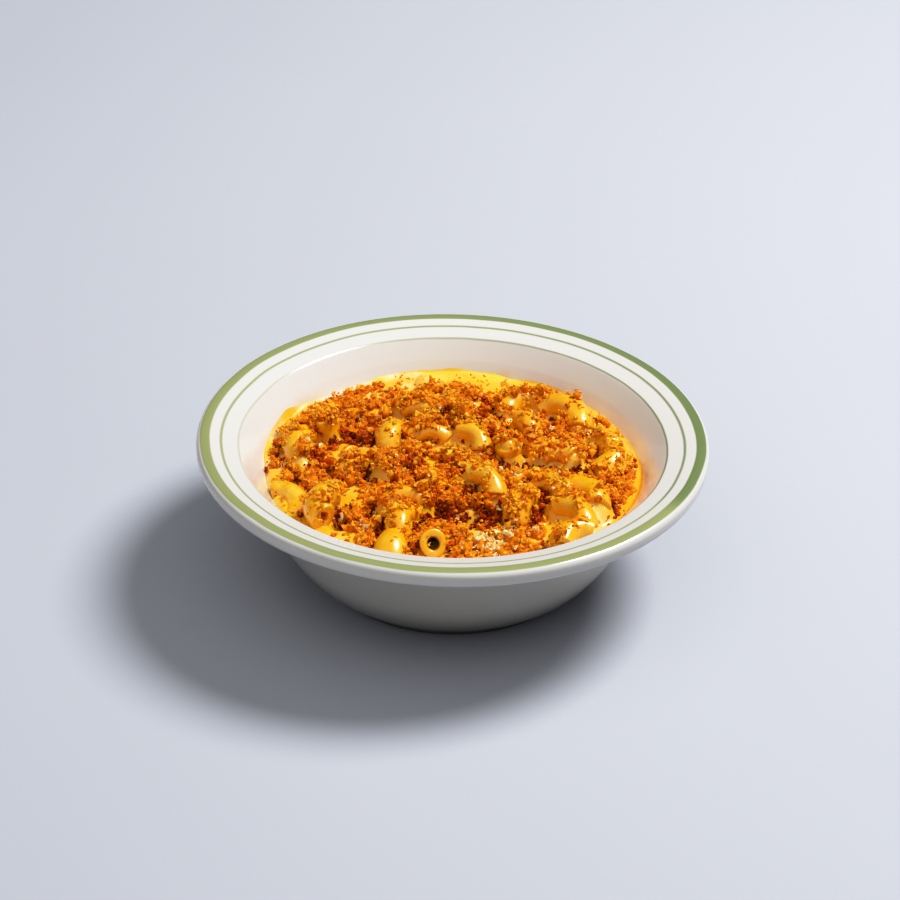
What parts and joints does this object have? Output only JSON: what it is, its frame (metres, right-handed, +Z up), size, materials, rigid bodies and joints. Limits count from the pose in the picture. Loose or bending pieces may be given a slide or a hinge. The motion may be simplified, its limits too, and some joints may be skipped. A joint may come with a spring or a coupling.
{
  "type": "mac and cheese in a bowl",
  "caption": "Elbow macaroni in cheese sauce under toasted crumbs, served in a round white rimmed bowl with green bands, standing on a foot ring.",
  "frame": {"origin": "on the table, at the middle of the foot ring", "axes": "+Z up out of the bowl; -Y is the side shown in front, +X its right"},
  "size_m": [0.165, 0.165, 0.0498],
  "materials": {
    "bowl_glaze": "glossy cream-white glaze with hand-painted green bands on the rim",
    "cheese_sauce": "smooth wet yellow sauce",
    "macaroni_and_crumbs": "sauce-coated pasta under rough toasted breadcrumbs"
  },
  "bodies": {
    "root": {"bowl": "bowl_glaze", "cheese_sauce": "cheese_sauce", "macaroni": "macaroni_and_crumbs"}
  },
  "joints": []
}
